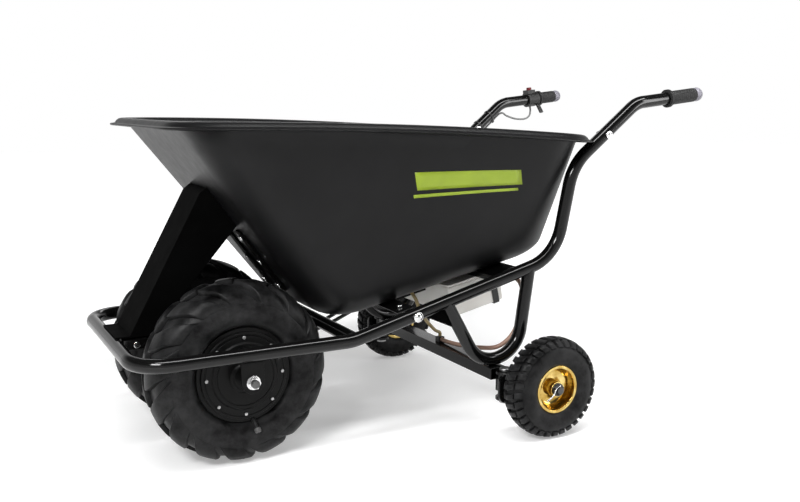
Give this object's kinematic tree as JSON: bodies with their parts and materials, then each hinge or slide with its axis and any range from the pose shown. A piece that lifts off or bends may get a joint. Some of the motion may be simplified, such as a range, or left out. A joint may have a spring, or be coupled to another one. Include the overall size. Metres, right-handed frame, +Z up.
{
  "type": "battery-powered wheelbarrow",
  "caption": "Battery-powered barrow: steel tray on a bent-tube frame, hub-motor front wheels, swivelling rear wheels, push handles with thumb throttle.",
  "frame": {"origin": "centre of the bounding box at floor level", "axes": "+X forward towards the drive wheels, +Y to the left, +Z up"},
  "size_m": [1.332, 0.7692, 0.7418],
  "materials": {
    "frame_black": "gloss black powder coat",
    "tray_black": "satin charcoal paint",
    "motor_black": "matte black cast alloy",
    "tyre_rubber": "moulded rubber",
    "bright_zinc": "bright zinc plate",
    "gold_zinc": "yellow zinc plate",
    "bearing_steel": "ground steel",
    "grip_rubber": "soft moulded rubber",
    "battery_plastic": "fine-grained warm grey plastic",
    "cell_plastic": "wrapped cells",
    "black_plastic": "moulded black plastic",
    "winding": "varnished winding",
    "red_plastic": "gloss dark red",
    "cord_black": "black sheath",
    "cord_tan": "tan sheath",
    "cord_brown": "brown sheath",
    "cord_grey": "grey sheath"
  },
  "bodies": {
    "frame": {"front_loop": "frame_black", "cross_tube": "frame_black", "outer_axle_plates": "frame_black", "inner_axle_frame": "frame_black", "left_side_rail": "frame_black", "right_side_rail": "frame_black", "frame_bolts": "bright_zinc", "left_handle": "frame_black", "right_handle": "frame_black", "left_grip": "grip_rubber", "right_grip": "grip_rubber", "tray": "tray_black", "front_support": "frame_black", "wall_straps": "frame_black", "tray_bolts": "bright_zinc", "front_bearer": "frame_black", "rear_bearer": "frame_black", "left_leg": "frame_black", "right_leg": "frame_black", "leg_gussets": "frame_black", "rear_beam": "frame_black", "kingpin_housings": "frame_black", "battery_case": "battery_plastic", "battery_lid": "battery_plastic", "battery_cells": "cell_plastic", "battery_strap": "black_plastic", "controller_box": "motor_black", "motor_axles": "bright_zinc", "stators": "winding", "axle_nuts": "bright_zinc", "motor_cables": "cord_black", "battery_cable": "cord_tan", "charge_lead": "cord_brown", "throttle_cable": "cord_grey", "cable_ties": "black_plastic", "throttle_clamp": "black_plastic"},
    "left_drive_wheel": {"left_hub_shell": "motor_black", "left_hub_cover": "motor_black", "left_cover_screws": "bright_zinc", "left_front_tyre": "tyre_rubber", "left_valve": "bright_zinc"},
    "left_caster": {"left_caster_arm": "frame_black", "left_kingpin": "bright_zinc", "left_stub_axle": "bright_zinc"},
    "left_rear_wheel": {"left_rear_rim": "gold_zinc", "left_wheel_bearings": "bearing_steel", "left_rear_tyre": "tyre_rubber"},
    "right_drive_wheel": {"right_hub_shell": "motor_black", "right_hub_cover": "motor_black", "right_cover_screws": "bright_zinc", "right_front_tyre": "tyre_rubber", "right_valve": "bright_zinc"},
    "right_caster": {"right_caster_arm": "frame_black", "right_kingpin": "bright_zinc", "right_stub_axle": "bright_zinc"},
    "right_rear_wheel": {"right_rear_rim": "gold_zinc", "right_wheel_bearings": "bearing_steel", "right_rear_tyre": "tyre_rubber"},
    "throttle": {"throttle_lever": "black_plastic"},
    "button": {"stop_button": "red_plastic"}
  },
  "joints": [
    {"name": "left_front_spin", "type": "hinge", "parent": "frame", "child": "left_drive_wheel", "pos_m": [0.44, 0.1385, 0.18], "axis": [0, 1, 0], "continuous": true},
    {"name": "left_caster_swivel", "type": "hinge", "parent": "frame", "child": "left_caster", "pos_m": [-0.105, 0.286, 0.1075], "axis": [0, 0, 1], "range_deg": [-30, 30]},
    {"name": "left_rear_spin", "type": "hinge", "parent": "left_caster", "child": "left_rear_wheel", "pos_m": [-0.177, 0.348, 0.1075], "axis": [0, 1, 0], "continuous": true},
    {"name": "right_front_spin", "type": "hinge", "parent": "frame", "child": "right_drive_wheel", "pos_m": [0.44, -0.1385, 0.18], "axis": [0, 1, 0], "continuous": true},
    {"name": "right_caster_swivel", "type": "hinge", "parent": "frame", "child": "right_caster", "pos_m": [-0.105, -0.286, 0.1075], "axis": [0, 0, 1], "range_deg": [-30, 30]},
    {"name": "right_rear_spin", "type": "hinge", "parent": "right_caster", "child": "right_rear_wheel", "pos_m": [-0.177, -0.348, 0.1075], "axis": [0, 1, 0], "continuous": true},
    {"name": "throttle_pull", "type": "hinge", "parent": "frame", "child": "throttle", "pos_m": [-0.57894, -0.2617, 0.71027], "axis": [-0.9942, 0, 0.108], "range_deg": [0, 45], "stiffness_Nm_per_rad": 0.2},
    {"name": "stop_press", "type": "slide", "parent": "frame", "child": "button", "axis": [-0.108, 0, -0.9942], "range_m": [0, 0.003], "stiffness_N_per_m": 400}
  ]
}
